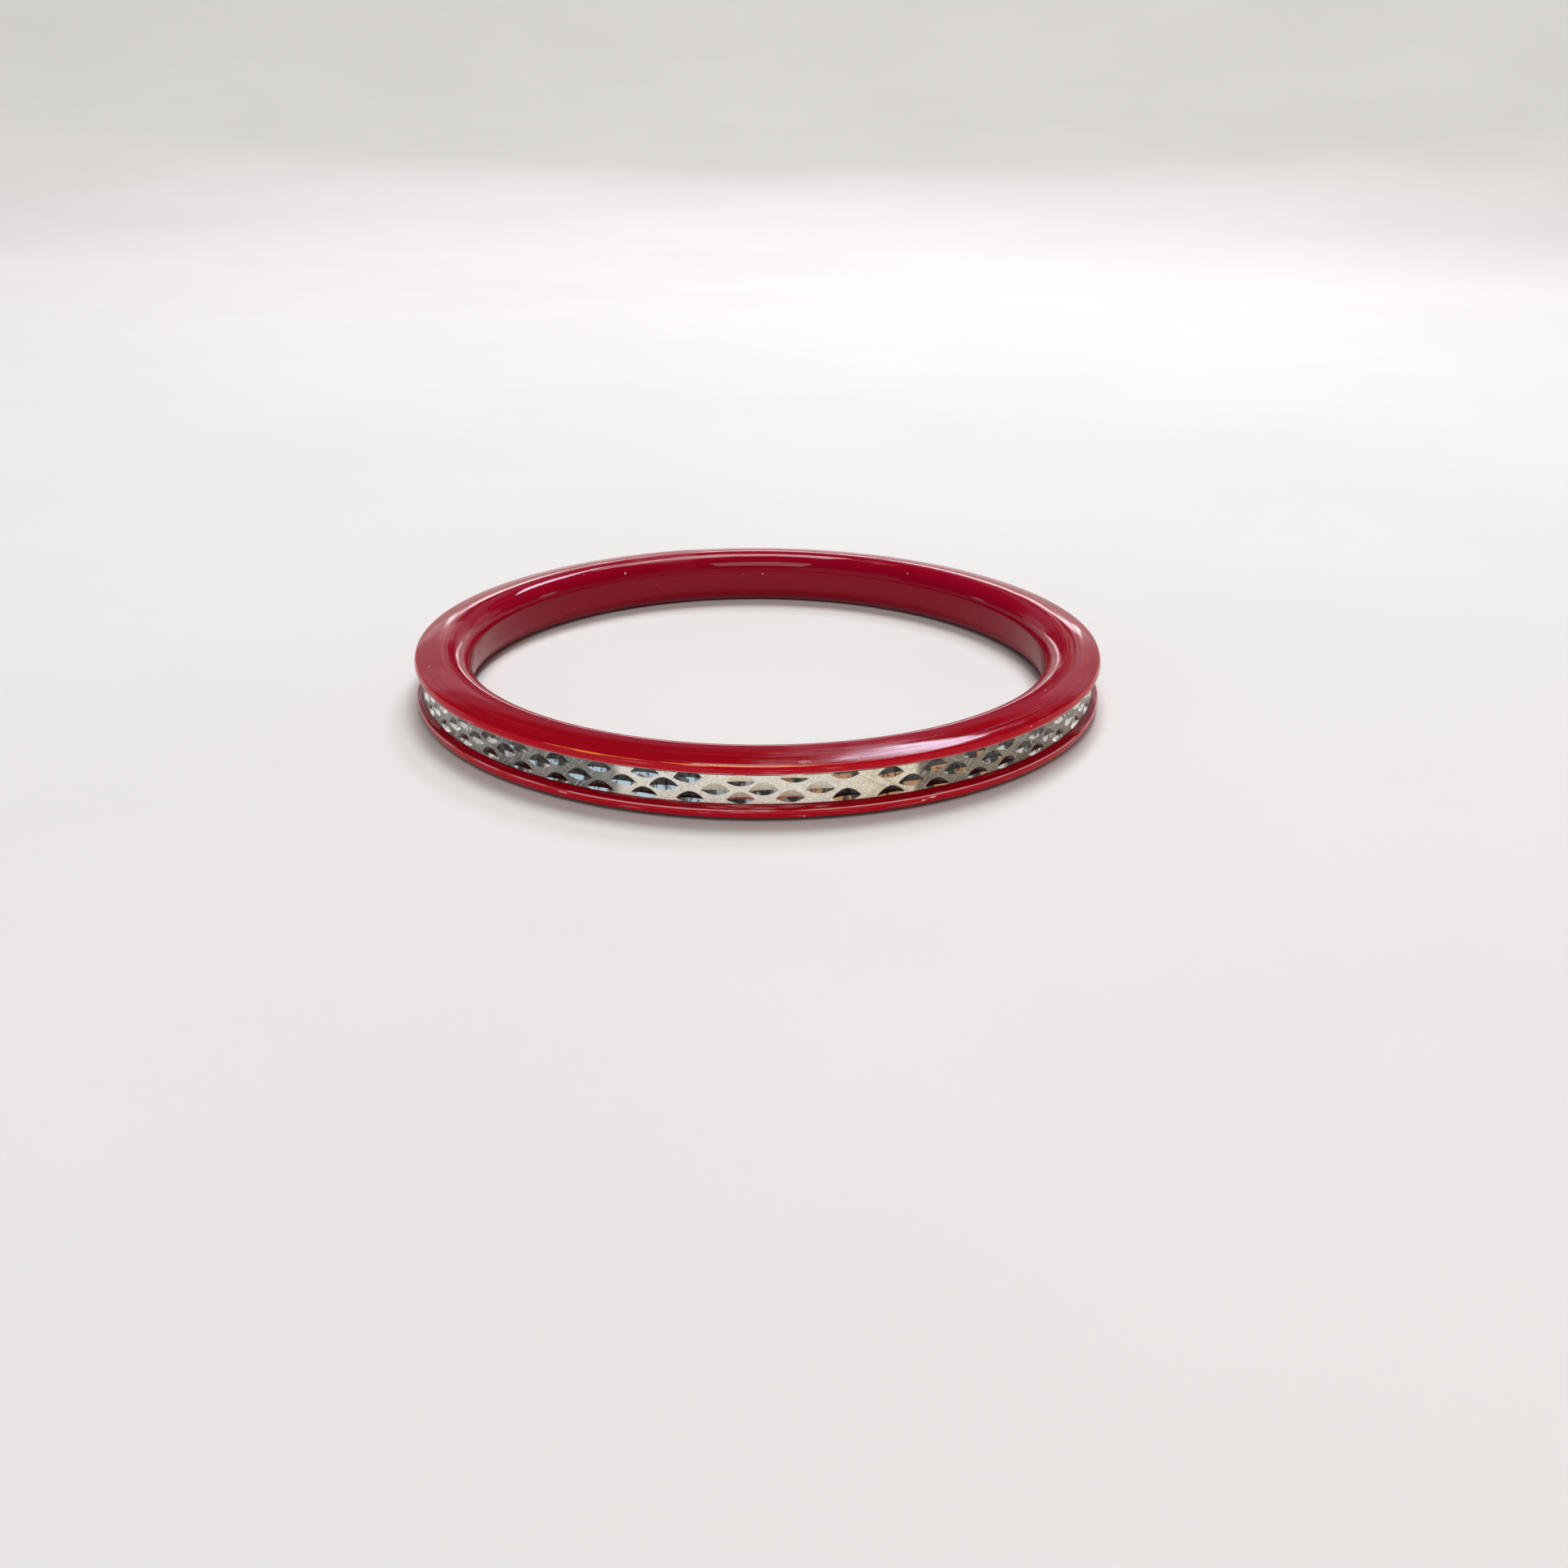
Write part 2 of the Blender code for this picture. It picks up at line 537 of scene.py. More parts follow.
@dataclass(frozen=True)
class RedPlastic:
    """Deep crimson moulded plastic, buffed along the ring, with nicks, scuffs, painted edge highlights and
    rims painted lighter.

    A pair of levels says where in a noise a mark starts to show and where it shows fully. A fade gives
    the same two places as distances from an edge.
    """

    face: Colour = (0.255, 0.0006, 0.006)
    face_light: Colour = (0.315, 0.0008, 0.009)
    inner: Colour = (0.27, 0.0008, 0.014)
    # Painted light: the rims are painted a brighter red than the top face, standing in for the light that
    # falls on them.
    edge: Colour = (0.50, 0.0012, 0.012)
    # Painted highlight: the orange of the warm light that the upper ridge catches.
    painted_ridge_highlight: Colour = (1.0, 0.34, 0.05)
    # Painted highlight and wear: the pale pink of the nicks, chips and hair scratches, also used for the
    # painted highlight line along each lip.
    wear_and_lip_highlight: Colour = (0.86, 0.50, 0.54)
    ior: float = 1.5
    specular: float = 0.17
    gloss_roughness: float = 0.05
    streaked_roughness: float = 0.22
    scuffed_roughness: float = 0.30
    mark_roughness: float = 0.3

    fine: Streaks = Streaks(5.0, 11000.0)
    fine_depth: float = 0.0005 * MM
    broad: Streaks = Streaks(2.5, 1800.0, seed=4.0)
    broad_levels: Levels = (0.3, 0.7)
    turned: Streaks = Streaks(2.2, 7400.0, seed=19.0)
    turned_levels: Levels = (0.53, 0.64)
    turned_depth: float = 0.0016 * MM
    hairs: Streaks = Streaks(7.0, 9000.0, detail=2.0, seed=14.0)
    hair_levels: Levels = (0.63, 0.70)
    hair_paleness: float = 0.45
    # Streaks that break up the painted highlight lines on the ridge and the lips.
    painted_reflection: Streaks = Streaks(9.0, 3000.0, detail=5.0, seed=9.0)
    painted_ridge_highlight_levels: Levels = (0.38, 0.52)
    lip_highlight_levels: Levels = (0.34, 0.52)

    patch_scale: float = 90.0
    patch_base: float = 0.45
    scuff_levels: Levels = (0.50, 0.70)
    speck_spacing: float = 900.0
    speck_size: float = 0.13
    speck_share: float = 0.16
    nick_depth: float = 0.02 * MM
    nick_strength: float = 0.6
    ragged_scale: float = 6000.0
    raggedness: float = 3.6
    chip_border: Levels = (2.5, 2.1)

    rim_fade: Levels = (-0.10 * MM, 0.05 * MM)
    bore_fade: Levels = (0.9 * MM, -0.4 * MM)
    lip_fade: Levels = (0.0, 0.05 * MM)
    ridge_fade: Levels = (0.02 * MM, -0.05 * MM)
    line_width: float = 0.09 * MM
    glint_width: float = 0.125 * MM
    painted_ridge_highlight_stretch: Stretch = Stretch(-101, 22, 6.88)
    glint_stretch: Stretch = Stretch(-114.5, 4.5, 2.86)

    @staticmethod
    def along(wiring: Wiring, radius: Socket, from_middle: Socket, line: tuple[float, float], width: float
              ) -> Socket:
        """Finds the surface beside an edge that runs round the ring.

        Args:
            wiring: The material's wiring.
            radius: Distance from the ring's axis.
            from_middle: Distance above or below the ring's middle.
            line: The edge's radius and height.
            width: How far from the edge the line reaches.

        Returns:
            1 on the edge, fading to 0 at the line's width from it.
        """
        away = wiring.distance(wiring.minus(radius, line[0]), wiring.minus(from_middle, line[1]))
        return wiring.ramp(away, width, 0.0)

    def chipped(self, wiring: Wiring, place: Socket, radius: Socket, middle: float) -> Socket:
        """Finds the surface inside the chips, each with a ragged border.

        Args:
            wiring: The material's wiring.
            place: The surface's place.
            radius: Its distance from the ring's axis.
            middle: Height of the ring's middle.

        Returns:
            The paleness inside a chip, and 0 elsewhere.
        """
        x, y, z = wiring.split(place)
        angle = wiring.math("ARCTAN2", y, x)
        ragged = wiring.noise(place, self.ragged_scale, 3.0)
        found = 0.0
        for chip in CHIPS:
            along = wiring.times(wiring.minus(angle, chip.angle), chip.radius / chip.half_length)
            off = wiring.distance(wiring.minus(radius, chip.radius), wiring.minus(z, middle + chip.height))
            reach = wiring.squares(along, wiring.math("DIVIDE", off, chip.half_width))
            border = wiring.math("MULTIPLY_ADD", ragged, self.raggedness, reach)
            found = wiring.larger(wiring.ramp(border, *self.chip_border, 0.0, chip.paleness), found)
        return found

    def make(self, effects: Effects, ring: "MouldedRing") -> Material:
        """Builds the material.

        Args:
            effects: The shared marks.
            ring: The ring, whose edges the marks follow.

        Returns:
            The material.
        """
        wiring = Finish("red_plastic_finish")
        place = wiring.place()
        x, y, z = wiring.split(place)
        radius = wiring.distance(x, y)
        from_middle = wiring.math("ABSOLUTE", wiring.minus(z, ring.middle))

        fine = self.fine.on(wiring, effects)
        turned = self.turned.on(wiring, effects)
        painted_reflection = self.painted_reflection.on(wiring, effects)
        patches = wiring.noise(place, self.patch_scale, 5.0)
        patches = wiring.times(patches, wiring.math("ADD", fine, self.patch_base))
        scuffs = wiring.ramp(patches, *self.scuff_levels)
        specks = wiring.group(
            effects.specks, Spacing=self.speck_spacing, Size=self.speck_size, Share=self.speck_share
        )
        nicks = wiring.larger(specks, self.chipped(wiring, place, radius, ring.middle))

        ridge_radius, ridge_height = ring.ridge
        # Painted light: the red turns brighter towards the rims and over them.
        rim = wiring.ramp(radius, *(ridge_radius + step for step in self.rim_fade))
        inwards = wiring.ramp(radius, *(ring.bore_corner + step for step in self.bore_fade))
        outside = wiring.ramp(radius, *(ring.lip_radius + step for step in self.lip_fade))
        below = wiring.ramp(from_middle, *(ridge_height + step for step in self.ridge_fade))
        hairs = wiring.ramp(self.hairs.on(wiring, effects), *self.hair_levels)
        hairs = wiring.times(wiring.times(outside, below), hairs)

        # Painted highlight along the upper ridge: a thin orange line at the front and a wider glint at the
        # front left, broken into streaks, on the upper half only.
        thin = self.along(wiring, radius, from_middle, ring.ridge, self.line_width)
        wide = self.along(wiring, radius, from_middle, ring.ridge, self.glint_width)
        thin = wiring.times(thin, self.painted_ridge_highlight_stretch.on(wiring, effects))
        wide = wiring.times(wide, self.glint_stretch.on(wiring, effects))
        painted_ridge_highlight = wiring.times(wiring.larger(thin, wide), wiring.ramp(painted_reflection, *self.painted_ridge_highlight_levels))
        painted_ridge_highlight = wiring.times(painted_ridge_highlight, wiring.math("GREATER_THAN", z, ring.middle))
        # Painted highlight: a pale broken line along the lip of each rim.
        lip = self.along(wiring, radius, from_middle, ring.lip, self.line_width)
        wear_and_lip_highlight = wiring.times(lip, wiring.ramp(painted_reflection, *self.lip_highlight_levels))

        broad = wiring.ramp(self.broad.on(wiring, effects), *self.broad_levels)
        body = wiring.blend(broad, self.face, self.face_light)
        body = wiring.blend(inwards, body, self.inner)
        body = wiring.blend(rim, body, self.edge)
        body = wiring.blend(painted_ridge_highlight, body, self.painted_ridge_highlight)
        # Real nicks, chips and hair scratches together with the painted lip highlight, all pale pink and
        # rougher.
        marks = wiring.larger(wiring.larger(wear_and_lip_highlight, nicks), wiring.times(hairs, self.hair_paleness))
        body = wiring.blend(marks, body, self.wear_and_lip_highlight)
        rough = wiring.ramp(turned, *self.turned_levels, self.gloss_roughness, self.streaked_roughness)
        rough = wiring.larger(wiring.times(scuffs, self.scuffed_roughness), rough)
        rough = wiring.math("MULTIPLY_ADD", marks, self.mark_roughness, rough)

        ripples = wiring.bump(turned, self.turned_depth, under=wiring.bump(fine, self.fine_depth))
        dented = wiring.bump(nicks, self.nick_depth, self.nick_strength, under=ripples, sunk=True)
        return wiring.surface(
            Base_Color=body, Roughness=rough, IOR=self.ior, Specular_IOR_Level=self.specular, Normal=dented
        )


@dataclass(frozen=True)
class ScratchedSilver:
    """The band's ground between the cuts: satin silver with slanting scratches.

    It is bright at the front, golden at the front right, and painted dark elsewhere: a painted dark
    reflection.
    Brown and gold start between two places across the band, given as shares of its radius.
    """

    pale: Colour = (0.97, 0.94, 0.86)
    dull: Colour = (0.76, 0.72, 0.62)
    # Painted dark reflection: the grey and the brown that cover the ground outside the bright stretch at the
    # front.
    painted_grey_reflection: Colour = (0.115, 0.12, 0.12)
    painted_brown_reflection: Colour = (0.145, 0.122, 0.086)
    scratch: Colour = (0.92, 0.89, 0.82)
    golden: Colour = (0.95, 0.87, 0.66)
    scored_gold: Colour = (0.50, 0.43, 0.30)
    roughness: float = 0.20
    grain_roughness: float = 0.24
    grain_size: float = 0.15 * MM
    grain_depth: float = 0.008 * MM
    grain_levels: Levels = (0.38, 0.58)
    scratch_depth: float = 0.012 * MM
    scratch_width: float = 0.08 * MM
    scratch_length: float = 2.2 * MM
    scratch_levels: Levels = (0.59, 0.68)
    scratch_strength: float = 0.7
    scratch_gloss: float = 0.08
    seeds: tuple[float, float, float] = (2.0, 7.0, 12.0)
    leans: tuple[float, float, float] = (-1.1, -0.7, 1.6)
    cloud_scale: float = 160.0
    worked_levels: Levels = (0.35, 0.60)
    least_worked: float = 0.35
    painted_dark_levels: Levels = (0.3, 0.6)
    least_painted_dark: float = 0.80
    bright_stretch: Stretch = Stretch(-88, 23.6, 1.72)
    bright_stretch_sway: float = 0.10
    brown_from: Levels = (-0.2, 0.2)
    gold_from: Levels = (0.12, 0.35)

    def make(self, effects: Effects, band_radius: float) -> Material:
        """Builds the material.

        Args:
            effects: The shared marks.
            band_radius: Radius of the band's face.

        Returns:
            The material.
        """
        wiring = Finish("scratched_silver")
        place = wiring.place()
        grain = wiring.noise(place, 1 / self.grain_size, 4.0)
        scratches = 0.0
        for lean, seed in zip(self.leans, self.seeds):
            lines = Streaks(band_radius / self.scratch_width, 1 / self.scratch_length, 2.0, seed)
            scratches = wiring.larger(lines.on(wiring, effects, lean / band_radius), scratches)
        scratches = wiring.ramp(scratches, *self.scratch_levels)
        cloud = wiring.noise(place, self.cloud_scale, 3.0)
        worked = wiring.times(scratches, wiring.ramp(cloud, *self.worked_levels, self.least_worked))
        # Painted dark reflection: outside the bright stretch at the front, whose ends sway with a cloudy
        # noise, the ground is painted dark, grey towards -X and brown towards +X; scratches across it stay
        # pale.
        sway = wiring.math("MULTIPLY_ADD", cloud, self.bright_stretch_sway, -self.bright_stretch_sway / 2)
        outside_bright_stretch = wiring.minus(1.0, self.bright_stretch.on(wiring, effects, sway))
        painted_dark_share = wiring.times(outside_bright_stretch, wiring.ramp(cloud, *self.painted_dark_levels, self.least_painted_dark))

        across = wiring.math("DIVIDE", wiring.split(place)[0], band_radius)
        brownness = wiring.ramp(across, *self.brown_from)
        painted_dark_tone = wiring.blend(brownness, self.painted_grey_reflection, self.painted_brown_reflection)
        rightwards = wiring.ramp(across, *self.gold_from)
        tone = wiring.blend(rightwards, self.pale, self.golden)
        tone = wiring.blend(wiring.ramp(grain, *self.grain_levels), self.dull, tone)
        tone = wiring.blend(wiring.times(worked, rightwards), tone, self.scored_gold)
        tone = wiring.blend(painted_dark_share, tone, painted_dark_tone)
        tone = wiring.blend(wiring.times(worked, painted_dark_share), tone, self.scratch)
        rough = wiring.math("MULTIPLY_ADD", grain, self.grain_roughness, self.roughness)
        rough = wiring.math("MULTIPLY_ADD", worked, -self.scratch_gloss, rough)
        uneven = wiring.bump(grain, self.grain_depth)
        scored = wiring.bump(worked, self.scratch_depth, self.scratch_strength, under=uneven)
        return wiring.surface(Base_Color=tone, Metallic=1.0, Roughness=rough, Normal=scored)


@dataclass(frozen=True)
class CutFlank:
    """One flank of each cut: mirror silver with darker cloudy patches, upright wheel lines and painted
    reflections.

    Attributes:
        name: The finish's name.
        colour: Its colour, which on the upper flanks is a painted dark reflection.
        clouded: Its colour in the darker cloudy patches.
        painted_reflection: Its colour along a stretch at the front, a painted reflection.
        banded: The colour of the upright bands in that stretch.
        painted_reflection_stretch: That stretch.
        cloud_level: The noise level from which the cloudy patches show.
    """

    name: str
    colour: Colour
    clouded: Colour
    painted_reflection: Colour
    banded: Colour
    painted_reflection_stretch: Stretch
    cloud_level: float
    cloud_step: float = 0.12
    cloud_roughness: float = 0.16
    film_scale: float = 1600.0
    roughness: float = 0.07
    chatter_depth: float = 0.0032 * MM
    chatter_width: float = 0.11 * MM
    chatter_length: float = 2.5 * MM
    chatter_share: float = 0.45
    band_levels: Levels = (0.46, 0.60)
    dent_depth: float = 0.008 * MM
    dent_size: float = 0.30 * MM

    def make(self, effects: Effects, band_radius: float) -> Material:
        """Builds the material.

        Args:
            effects: The shared marks.
            band_radius: Radius of the band's face.

        Returns:
            The material.
        """
        wiring = Finish(self.name)
        place = wiring.place()
        lines = Streaks(band_radius / self.chatter_width, 1 / self.chatter_length, detail=2.0)
        chatter = lines.on(wiring, effects)
        film = wiring.noise(place, self.film_scale, 5.0)
        lined = wiring.math("MULTIPLY_ADD", wiring.minus(chatter, 0.5), self.chatter_share, film)
        clouds = wiring.ramp(lined, self.cloud_level, self.cloud_level + self.cloud_step)
        base = wiring.blend(clouds, self.colour, self.clouded)
        # Painted reflection: along a stretch at the front each flank is painted one colour with upright
        # bands, cream on the upper flanks and darker on the lower.
        bright = wiring.blend(wiring.ramp(chatter, *self.band_levels), self.painted_reflection, self.banded)
        base = wiring.blend(self.painted_reflection_stretch.on(wiring, effects), base, bright)
        rough = wiring.math("MULTIPLY_ADD", clouds, self.cloud_roughness, self.roughness)
        dents = wiring.noise(place, 1 / self.dent_size, 3.0)
        uneven = wiring.bump(dents, self.dent_depth, under=wiring.bump(chatter, self.chatter_depth))
        return wiring.surface(Base_Color=base, Metallic=1.0, Roughness=rough, Normal=uneven)


# Painted reflection: the upper flanks are painted a dark silver, darker still in the cloudy patches, and
# cream along the stretch at the front.
UPPER_FLANK = CutFlank(
    "dark_upper_flank", colour=(0.11, 0.11, 0.105), clouded=(0.035, 0.035, 0.035), painted_reflection=(1.0, 0.96, 0.84),
    banded=(0.90, 0.80, 0.60), painted_reflection_stretch=Stretch(-87.7, 9.8, 0.69), cloud_level=0.50,
)
# Painted reflection: the lower flanks are painted darker along the stretch at the front.
LOWER_FLANK = CutFlank(
    "bright_lower_flank", colour=(0.95, 0.94, 0.92), clouded=(0.20, 0.18, 0.16), painted_reflection=(0.62, 0.58, 0.54),
    banded=(0.42, 0.38, 0.34), painted_reflection_stretch=Stretch(-89, 6, 0.69), cloud_level=0.52,
)


@dataclass(frozen=True)
class StudioPaper:
    """The pale paper of the studio floor, with a faint mottle."""

    pale: Colour = (0.77, 0.762, 0.745)
    shade: Colour = (0.745, 0.737, 0.72)
    roughness: float = 0.85
    specular: float = 0.2
    mottle_scale: float = 14.0
    mottle_levels: Levels = (0.3, 0.7)
    fibre_scale: float = 2600.0
    fibre_depth: float = 0.03 * MM
    fibre_strength: float = 0.5

    def make(self) -> Material:
        """Builds the material, and returns it."""
        wiring = Finish("studio_paper")
        place = wiring.place()
        mottle = wiring.ramp(wiring.noise(place, self.mottle_scale, 8.0), *self.mottle_levels)
        fibres = wiring.noise(place, self.fibre_scale, 3.0)
        tooth = wiring.bump(fibres, self.fibre_depth, self.fibre_strength)
        return wiring.surface(
            Base_Color=wiring.blend(mottle, self.shade, self.pale), Roughness=self.roughness,
            Specular_IOR_Level=self.specular, Normal=tooth,
        )


# The bangle's two pieces


@dataclass
class MouldedRing:
    """The plastic ring: a rounded bore, a slightly crowned face above and below, and two thin rims.

    Attributes:
        outer_radius: Radius of the rims.
        height: Full height of the ring.
    """

    outer_radius: float
    height: float
    section_depth: float = 5.45 * MM
    bore_rounding: float = 2.05 * MM
    land_outer_radius: float = 31.15 * MM
    land_softness: float = 0.45 * MM
    face_fall: float = 0.49 * MM
    face_crown: float = 0.06 * MM
    crown_steps: int = 6
    ridge_lean: float = 0.15 * MM
    bevel_lean: float = 0.07 * MM
    rim_edge: float = 0.70 * MM
    rim_bevel: float = 0.24 * MM
    edge_rounding: float = 0.05 * MM
    ridge_rounding: float = 0.08 * MM
    groove_half_width: float = 1.33 * MM
    groove_floor_radius: float = 32.7 * MM
    lip_radius: float = 33.32 * MM
    turn_steps: int = 480
    waviness: float = 0.03 * MM
    wave_length: float = 9 * MM
    sharp_from: float = 30.0

    @property
    def middle(self) -> float:
        """Height of the ring's middle above the ground."""
        return self.height / 2

    @property
    def ridge(self) -> tuple[float, float]:
        """Radius, and height above the middle, of the ridge at the top of the upper rim's edge."""
        return self.outer_radius - self.ridge_lean, self.middle - self.face_fall

    @property
    def lip(self) -> tuple[float, float]:
        """Radius, and height above the middle, of the upper rim's lip beside the band."""
        return self.outer_radius - self.bevel_lean, self.ridge[1] - self.rim_edge

    @property
    def bore_radius(self) -> float:
        """Radius of the bore wall."""
        return self.outer_radius - self.section_depth

    @property
    def bore_corner(self) -> float:
        """Radius where the face starts to round off into the bore."""
        return self.bore_radius + self.bore_rounding

    def half_outline(self) -> list[Corner]:
        """The upper half of the section, from the groove round to the bore.

        Returns:
            Its corners in order.
        """
        ridge_radius, ridge_height = self.ridge
        corners = [
            Corner(self.groove_floor_radius, self.groove_half_width),
            Corner(self.lip_radius, self.groove_half_width, self.edge_rounding, 3),
            Corner(*self.lip, self.edge_rounding, 4),
            Corner(self.outer_radius, self.lip[1] + self.rim_bevel, self.edge_rounding, 3),
            Corner(ridge_radius, ridge_height, self.ridge_rounding, 5),
        ]
        for step in range(1, self.crown_steps):
            share = step / self.crown_steps
            bulge = 4 * share * (1 - share) * self.face_crown
            radius = ridge_radius + share * (self.land_outer_radius - ridge_radius)
            corners.append(Corner(radius, ridge_height + share * self.face_fall + bulge))
        corners.append(Corner(self.land_outer_radius, self.middle, self.land_softness, 4))
        corners.append(Corner(self.bore_radius, self.middle, self.bore_rounding, 14))
        return corners

    def build(self, effects: Effects) -> Object:
        """Turns the ring, gives it the slight waviness of a moulding, and dresses it.

        Args:
            effects: The shared marks.

        Returns:
            The finished ring.
        """
        upper = self.half_outline()
        lower = [corner.mirrored() for corner in reversed(upper)]
        ring = turned_piece("moulded_ring", upper + lower, self.middle, self.turn_steps)
        waves = bpy.data.textures.new("mould_waviness", "CLOUDS")
        waves.noise_scale = self.wave_length
        wavy = ring.modifiers.new("waviness", "DISPLACE")
        wavy.texture = waves
        wavy.texture_coords = "LOCAL"
        wavy.strength = self.waviness
        pick_only(ring)
        bpy.ops.object.modifier_apply(modifier=wavy.name)
        shade(ring, self.sharp_from)
        ring.data.materials.append(RedPlastic().make(effects, self))
        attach(ring, ROOT_BODY)
        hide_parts("bangle_ring")
        return ring


@dataclass(frozen=True)
class CuttingWheel:
    """The wheel whose uneven V edge cuts the almonds: a wide flank above the valley, a narrow one below."""

    cut_length: float = 2.5 * MM
    cut_depth: float = 0.18 * MM
    cut_above: float = 0.72 * MM
    cut_below: float = 0.38 * MM
    overrun: float = 1.4
    facets: int = 180

    def radius(self, band_radius: float) -> float:
        """The wheel's radius, from the length and depth of a cut in a round band.

        Args:
            band_radius: Radius of the band's face.

        Returns:
            The radius at the wheel's edge.
        """
        half_length = self.cut_length / 2
        band_sagitta = band_radius - math.sqrt(band_radius**2 - half_length**2)
        wheel_sagitta = self.cut_depth - band_sagitta
        return (half_length**2 + wheel_sagitta**2) / (2 * wheel_sagitta)

    def build(self, effects: Effects, band_radius: float) -> Object:
        """Models the part of the wheel that can reach the band, at the angle 0 and the height 0.

        Args:
            effects: The shared marks.
            band_radius: Radius of the band's face.

        Returns:
            The cutter, with the finish that each flank leaves in the band.
        """
        edge_radius = self.radius(band_radius)
        flank_radius = edge_radius - self.overrun * self.cut_depth
        above, below = self.overrun * self.cut_above, self.overrun * self.cut_below
        centre = band_radius - self.cut_depth + edge_radius
        bpy.ops.object.select_all(action="DESELECT")
        bpy.ops.mesh.primitive_cylinder_add(
            vertices=self.facets, radius=flank_radius, depth=above + below,
            location=(centre, 0, (above - below) / 2),
        )
        wheel = bpy.context.object
        bpy.ops.object.transform_apply(location=True, rotation=True, scale=True)
        swelling = edge_radius / flank_radius
        reach = self.overrun * self.cut_length / 2
        trims = (
            ((band_radius + 2 * self.cut_depth, 0, 0), (1, 0, 0)),
            ((0, reach, 0), (0, 1, 0)),
            ((0, -reach, 0), (0, -1, 0)),
        )
        with editing(wheel):
            bpy.ops.mesh.select_all(action="SELECT")
            bpy.ops.mesh.bisect(plane_co=(0, 0, 0), plane_no=(0, 0, 1))
            select_points(wheel, lambda point: abs(point.z) < MERGE_DISTANCE)
            bpy.ops.transform.resize(value=(swelling, swelling, 1), center_override=(centre, 0, 0))
            for place, outwards in trims:
                bpy.ops.mesh.select_all(action="SELECT")
                bpy.ops.mesh.bisect(plane_co=place, plane_no=outwards, use_fill=True, clear_outer=True)
            bpy.ops.mesh.select_all(action="SELECT")
            bpy.ops.mesh.remove_doubles(threshold=MERGE_DISTANCE)
            bpy.ops.mesh.normals_make_consistent(inside=False)
        wheel.data.materials.append(LOWER_FLANK.make(effects, band_radius))
        wheel.data.materials.append(UPPER_FLANK.make(effects, band_radius))
        with editing(wheel):
            select_points(wheel, lambda point: point.z > -MERGE_DISTANCE)
            wheel.active_material_index = 1
            bpy.ops.object.material_slot_assign()
        return wheel


@dataclass(frozen=True)
class Wander:
    """How unevenly the cuts were made by eye, as the most that each strays."""

    turn: float = math.radians(0.5)
    rise: float = 0.12 * MM
    depth: float = 0.016 * MM
    tilt: float = math.radians(3)
    seed: int = 41


@dataclass(frozen=True)
class FrontCuts:
    """The front cuts of one row as they were made, from left to right.

    Attributes:
        first: The leftmost cut's number in its row.
        turns: How far each lies to the right of its even place, in degrees round the ring.
        rises: How far each lies above it, in millimetres.
    """

    first: int
    turns: tuple[float, ...]
    rises: tuple[float, ...]

    def has(self, place: int) -> bool:
        """Says whether a cut of this number is one of them."""
        return self.first <= place < self.first + len(self.turns)

    def stray(self, place: int) -> tuple[float, float]:
        """The turn in radians and the rise in metres of the cut with this number."""
        return math.radians(self.turns[place - self.first]), self.rises[place - self.first] * MM


FRONT_CUTS = {
    CutRow.UPPER: FrontCuts(
        first=-4,
        turns=(0.1, 0.15, 0.2, -0.6, -0.2, 0.3, 0.5, 0.3, 0.4, 0.4),
        rises=(-0.15, 0.0, 0.15, 0.07, -0.10, 0.20, 0.30, -0.10, -0.15, 0.20),
    ),
    CutRow.MIDDLE: FrontCuts(
        first=-4,
        turns=(0.35, 0.45, -0.6, -0.2, -0.5, 0.45, 0.0, 0.05, 0.45),
        rises=(-0.20, 0.0, 0.05, -0.07, 0.0, 0.0, 0.0, -0.25, 0.0),
    ),
    CutRow.LOWER: FrontCuts(
        first=-4,
        turns=(0.0, 0.25, 0.05, -0.3, -0.2, -0.2, 0.8, 0.4, 0.8, 1.1),
        rises=(-0.18, -0.12, 0.0, -0.05, 0.06, 0.18, 0.0, -0.18, -0.20, -0.10),
    ),
}


